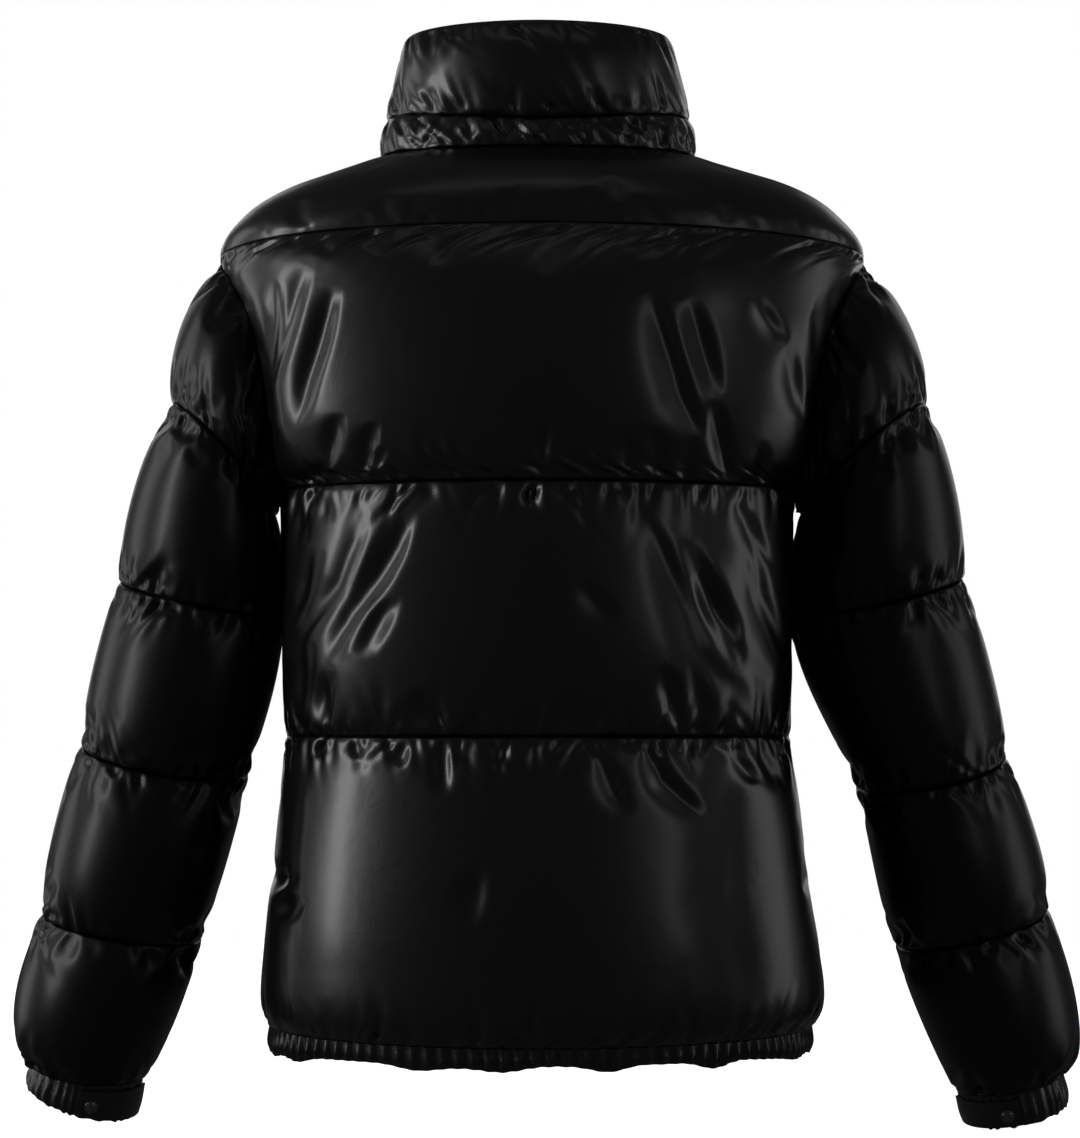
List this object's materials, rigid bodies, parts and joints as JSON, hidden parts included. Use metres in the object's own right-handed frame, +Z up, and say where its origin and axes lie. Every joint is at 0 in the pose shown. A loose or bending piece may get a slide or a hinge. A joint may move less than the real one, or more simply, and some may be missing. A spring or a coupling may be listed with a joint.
{
  "type": "puffer jacket",
  "caption": "Black glossy puffer jacket, horizontally quilted, with a tall padded collar, zip front, elasticated hem and snap-tab cuffs.",
  "frame": {"origin": "middle of the neck opening at shoulder height, where the wearer's neck and shoulders carry the jacket", "axes": "+Z up to the collar, the front faces -Y, +X to the wearer's left"},
  "size_m": [0.8026, 0.3126, 0.8154],
  "materials": {
    "shell": "glossy lacquered black nylon over padding",
    "elastic": "the same black nylon, gathered on elastic",
    "zip_tape": "matt woven black tape",
    "metal": "dark lacquered metal"
  },
  "bodies": {
    "jacket": {"back_lower": "shell", "back_middle": "shell", "back_upper": "shell", "back_yoke": "shell", "collar_stand": "shell", "collar_upper": "shell", "cuff_band_left": "elastic", "cuff_band_right": "elastic", "cuff_snap_left": "metal", "cuff_snap_right": "metal", "cuff_tab_left": "shell", "cuff_tab_right": "shell", "front_lower_left": "shell", "front_lower_right": "shell", "front_middle_left": "shell", "front_middle_right": "shell", "front_upper_left": "shell", "front_upper_right": "shell", "front_yoke_left": "shell", "front_yoke_right": "shell", "hem_band": "elastic", "sleeve_1_left": "shell", "sleeve_1_right": "shell", "sleeve_2_left": "shell", "sleeve_2_right": "shell", "sleeve_3_left": "shell", "sleeve_3_right": "shell", "sleeve_4_left": "shell", "sleeve_4_right": "shell", "sleeve_5_left": "shell", "sleeve_5_right": "shell", "zip_slider": "metal", "zip_tape_left": "zip_tape", "zip_tape_right": "zip_tape"},
    "pull_tab": {"zip_pull": "metal"}
  },
  "joints": [
    {"name": "pull_tab_hinge", "type": "hinge", "parent": "jacket", "child": "pull_tab", "pos_m": [0, -0.08521, 0.0243], "axis": [-1, 0, 0], "range_deg": [0, 165]}
  ]
}
